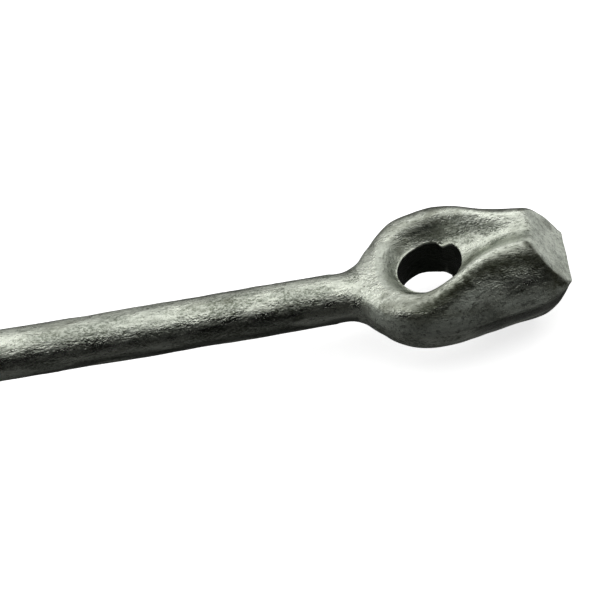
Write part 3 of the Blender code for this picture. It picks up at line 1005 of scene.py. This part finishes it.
def bolt_painted_shade(co):
    """Painted shade: black in the hole, dark beside the ridges, below the parting line and on the funnel's far
    wall, and under the shank between pale patches.
    """
    x, y, z = from_hole(co)
    if x < SHANK_PAINT_END:
        # Under the shank: painted shade between the patches of painted reflection
        return SHANK_SHADE * smooth_step(-co.z, *SHANK_SHADE_EDGE) * (1 - shank_reflection_patch(co))
    level = rim_level(x, y)
    fade_low, fade_high = THROAT_TOP_FADE
    inside = 1 - smooth_step(beyond_rim(x, y), *THROAT_EDGE)
    # Painted shade: black inside the hole, from a little below its upper rim down
    throat = THROAT_SHADE * inside * (1 - smooth_step(z, level - fade_low, level - fade_high))
    # Painted shade on the wedge below the parting line, where the side faces down
    under_flash = FLASH_SHADE * smooth_step(x, *FLASH_SHADE_START)
    under_flash *= (1 - smooth_step(z, *FLASH_SHADE_TOP)) * smooth_step(z, *FLASH_SHADE_FOOT)
    return max(throat, BAND_SHADE * under_ridge(x, y, z), under_flash, blob((x, y, z), *FAR_WALL_BLACK_SHADE))


def side_chalk(x, y, z):
    """Chalk on the head's sides above the parting line, with little of it high on the wedge."""
    start, end = SIDE_CHALK_OUT
    beside = smooth_step(abs(y), ridge_spread(x) + start, ridge_spread(x) + end)
    low = 1 - smooth_step(abs(z) / ridge_height(x), *SIDE_CHALK_TOP)
    side = smooth_step(x, *SIDE_CHALK_START) * beside * low * smooth_step(z, *PARTING_FADE)
    return side * (1 - WEDGE_CHALK_LOSS * smooth_step(x, *WEDGE_CHALK_X) * smooth_step(z, *WEDGE_CHALK_Z))


def inner_chalk_and_painted_light(x, y):
    """Chalk just inside the ridges, with more of it inside the one at -Y as painted light."""
    from_ridge = abs(y) - ridge_spread(x)
    both = INNER_CHALK * bell(from_ridge + INNER_CHALK_IN, INNER_CHALK_WIDTH)
    both *= smooth_step(x, *INNER_CHALK_START) * (1 - smooth_step(x, *INNER_CHALK_FADE))
    near = NEAR_PAINTED_LIGHT * bell(from_ridge + NEAR_PAINTED_LIGHT_IN, NEAR_PAINTED_LIGHT_WIDTH)
    near *= smooth_step(x, *NEAR_PAINTED_LIGHT_START) * (y < 0)
    return max(both, near)


def back_chalk(x, y):
    """Chalk in the funnel behind the hole."""
    back = BACK_CHALK * smooth_step(-x, *BACK_CHALK_START) * (abs(y) < min(ridge_spread(x), BACK_CHALK_REACH))
    return back * smooth_step(beyond_rim(x, y), *BACK_CHALK_EDGE)


def bolt_chalk_and_painted_light(co):
    """Chalky dull zinc on the head's sides and end, inside the ridges and behind the hole, with painted light
    inside the ridge at -Y and painted reflection under the shank.
    """
    x, y, z = from_hole(co)
    if x < SHANK_PAINT_END:
        # Under the shank: painted reflection in pale chalk-coloured patches
        return SHANK_REFLECTION * smooth_step(-co.z, *SHANK_REFLECTION_EDGE) * shank_reflection_patch(co)
    patchy = 0.95 + 0.5 * wander(co, *CHALK_WAVE)
    end = END_CHALK * (1 - smooth_step(below_end(x, z), *END_FACE_EDGE))
    top = (inner_chalk_and_painted_light(x, y) + back_chalk(x, y)) * (z > 0)
    return min(max(side_chalk(x, y, z) * patchy, end, top), 1.0)


def bolt_painted_highlight(co):
    """Painted highlights in bright zinc: the tops of the ridges, the hole's rim, the edge of the flash and
    high on the ring behind the hole.
    """
    x, y, z = from_hole(co)
    if x < BRIGHT_FIRST_X:
        return 0.0
    level = rim_level(x, y)
    crest = bell(abs(y) - ridge_spread(x) + CREST_IN, CREST_WIDTH) * smooth_step(z, *CREST_LOWEST)
    crest *= smooth_step(below_end(x, z), *BRIGHT_END_EDGE)
    flash = BRIGHT_FLASH * bell(z, BRIGHT_FLASH_WIDTH) * smooth_step(x, *BRIGHT_FLASH_START)
    rim = bell(beyond_rim(x, y), RIM_WIDTH) * smooth_step(z, level - RIM_WIDTH, level)
    back = BRIGHT_BACK * smooth_step(-x, *BRIGHT_BACK_START)
    back *= smooth_step(z / ridge_height(x), *BRIGHT_BACK_HEIGHT)
    return min(crest + flash + rim + back, 1.0)


def dress(obj, material, body, slot, *nodes):
    obj.data.materials.append(material)
    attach(obj, body)
    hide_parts(*nodes)


def make_object():
    bolt = make_bolt()
    # Stored amounts: dirt with painted shade, painted shade, chalk with painted light and reflection, and
    # painted highlights
    paint(bolt, "dirt_and_painted_shade", bolt_dirt_and_painted_shade)
    paint(bolt, "painted_shade", bolt_painted_shade)
    paint(bolt, "chalk_and_painted_light", bolt_chalk_and_painted_light)
    paint(bolt, "bright", bolt_painted_highlight)
    bolt_zinc = galvanised("zinc_forging", 1.0, ZINC, DULL_ZINC, 0.52)
    dress(bolt, bolt_zinc, "bolt", "forged_zinc", "thimble_eye_bolt")
    washer_zinc = galvanised("zinc_washer", 5.0, ZINC, WASHER_DULL, 0.25, streak=1.0)
    dress(make_washer(), washer_zinc, "washer", "washer_zinc", "square_washer")
    nut_zinc = galvanised("zinc_nut", 9.0, NUT_ZINC, NUT_DULL, 0.4, streak=1.0)
    dress(make_nut(), nut_zinc, "nuts", "nut_zinc", "square_nut")
    lock_zinc = galvanised("zinc_lock_nut", 13.0, LOCK_ZINC, LOCK_DULL, 0.2, streak=1.0, grain=0.5)
    dress(make_lock_nut(), lock_zinc, "nuts", "lock_nut_zinc", "spring_lock_nut")


# ---------------------------------------------------------------- studio

VIEW_ELEVATION = math.radians(45.6)
VIEW_ROLL = math.radians(9.567)
CAMERA_DISTANCE = 1.2
FRAME_WIDTH = 0.1893
AIM = Vector((EYE_X - 0.0413, 0, 0))
AIM_LIFT = 0.00156
SENSOR = 36.0
NEAREST_SEEN = 0.01
FURTHEST_SEEN = 100

WHITE = (1, 1, 1, 1)
FLOOR_COLOUR = (0.9, 0.9, 0.9, 1)
FLOOR_GLOW = 0.78
FLOOR_GAP = 0.0003
FLOOR_FLAT_RADII = (0.6, 2.0, 4.0)
FLOOR_BEND = 3.0
FLOOR_BEND_STEPS = 12
WALL_TOP = 8.0
FLOOR_AROUND = 64
HEAD_REST_X = EYE_X + 0.026
HEAD_REST_LIFT = 0.0002

# The world's light grows from the first to the second strength as a direction points lower
WORLD_FROM_Z, WORLD_TO_Z = -0.1, -0.7
WORLD_WEAKEST, WORLD_STRONGEST = 0.003, 0.08


def make_camera():
    back = Vector((0, -math.cos(VIEW_ELEVATION), math.sin(VIEW_ELEVATION)))
    level = Vector((1, 0, 0))
    rise = back.cross(level)
    right = level * math.cos(VIEW_ROLL) - rise * math.sin(VIEW_ROLL)
    up = rise * math.cos(VIEW_ROLL) + level * math.sin(VIEW_ROLL)
    camera = bpy.data.objects.new("camera", bpy.data.cameras.new("camera"))
    bpy.context.scene.collection.objects.link(camera)
    camera.data.sensor_width = SENSOR
    camera.data.lens = SENSOR * CAMERA_DISTANCE / FRAME_WIDTH
    camera.data.clip_start = NEAREST_SEEN
    camera.data.clip_end = FURTHEST_SEEN
    turn = Matrix((right, up, back)).transposed().to_4x4()
    camera.matrix_world = Matrix.Translation(AIM + rise * AIM_LIFT + back * CAMERA_DISTANCE) @ turn
    bpy.context.scene.camera = camera


def area_light(name, place, target, size, power):
    light = bpy.data.lights.new(name, "AREA")
    light.shape = "RECTANGLE"
    light.size, light.size_y = size
    light.energy = power
    obj = bpy.data.objects.new(name, light)
    bpy.context.scene.collection.objects.link(obj)
    direction = Vector(target) - Vector(place)
    turn = direction.to_track_quat("-Z", "Y").to_matrix().to_4x4()
    obj.matrix_world = Matrix.Translation(Vector(place)) @ turn
    obj.visible_camera = False


def make_lights():
    area_light("overhead_softbox", (EYE_X, 0.24, 1.0), (EYE_X, 0.24, 0.0), (2.4, 1.5), 12.5)
    area_light("back_panel", (EYE_X, 1.3, 0.45), (EYE_X, 0.0, 0.1), (2.6, 1.4), 4.5)
    area_light("end_panel", (EYE_X + 1.1, 0.8, -0.1), (EYE_X, 0.0, 0.0), (1.2, 1.2), 4.0)
    area_light("tip_panel", (TIP_X - 1.0, 0.3, 0.35), (TIP_X, 0.0, 0.0), (1.2, 1.0), 4.0)


def make_world():
    """A dim white world, a little stronger from below."""
    world = bpy.data.worlds.new("studio")
    bpy.context.scene.world = world
    world.use_nodes = True
    tree = world.node_tree
    background = tree.nodes["Background"]
    direction = tree.nodes.new("ShaderNodeTexCoord").outputs["Generated"]
    parts = tree.nodes.new("ShaderNodeSeparateXYZ")
    tree.links.new(direction, parts.inputs[0])
    ramp = tree.nodes.new("ShaderNodeMapRange")
    ramp.inputs["From Min"].default_value = WORLD_FROM_Z
    ramp.inputs["From Max"].default_value = WORLD_TO_Z
    ramp.inputs["To Min"].default_value = WORLD_WEAKEST
    ramp.inputs["To Max"].default_value = WORLD_STRONGEST
    tree.links.new(parts.outputs["Z"], ramp.inputs["Value"])
    tree.links.new(ramp.outputs["Result"], background.inputs["Strength"])
    background.inputs["Color"].default_value = WHITE


def floor_profile():
    """Points (radius, height) of the floor from its middle out, bending up into a wall."""
    rings = [(radius, 0.0) for radius in FLOOR_FLAT_RADII]
    flat = FLOOR_FLAT_RADII[-1]
    for step in range(1, FLOOR_BEND_STEPS + 1):
        turn = math.pi / 2 * step / FLOOR_BEND_STEPS
        rings.append((flat + FLOOR_BEND * math.sin(turn), FLOOR_BEND - FLOOR_BEND * math.cos(turn)))
    rings.append((flat + FLOOR_BEND, WALL_TOP))
    return rings


def make_floor():
    """A pale floor that the washer's edge and the head rest on, curving up into a wall far out."""
    washer_low, washer_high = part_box("square_washer")
    rest = Vector(((washer_low.x + washer_high.x) / 2, 0, washer_low.z))
    head_rest = Vector((HEAD_REST_X, 0, -NOSE_HEIGHT + HEAD_REST_LIFT))
    slope = (head_rest - rest).normalized()
    across = Vector((0, 1, 0))
    upright = slope.cross(across)
    bm = bmesh.new()
    loops = []
    for radius, height in floor_profile():
        loop = []
        for k in range(FLOOR_AROUND):
            angle = 2 * math.pi * k / FLOOR_AROUND
            co = rest + slope * radius * math.cos(angle) + across * radius * math.sin(angle)
            co += upright * (height - FLOOR_GAP)
            loop.append(bm.verts.new(co))
        loops.append(loop)
    bm.faces.new(loops[0])
    for first, second in zip(loops, loops[1:]):
        add_loop_faces(bm, first, second)
    bmesh.ops.recalc_face_normals(bm, faces=bm.faces)
    floor = finished_object("studio_floor", bm)
    floor.data.materials.append(pale_material())
    floor.visible_glossy = False
    floor.visible_diffuse = False
    floor.visible_shadow = False


def pale_material():
    material = bpy.data.materials.new("pale_floor")
    material.use_nodes = True
    shader = material.node_tree.nodes["Principled BSDF"]
    shader.inputs["Base Color"].default_value = FLOOR_COLOUR
    shader.inputs["Roughness"].default_value = 1.0
    shader.inputs["Specular IOR Level"].default_value = 0.0
    shader.inputs["Emission Color"].default_value = WHITE
    shader.inputs["Emission Strength"].default_value = FLOOR_GLOW
    return material


make_object()
make_floor()
make_lights()
make_world()
make_camera()
bpy.context.scene.view_settings.view_transform = "Standard"
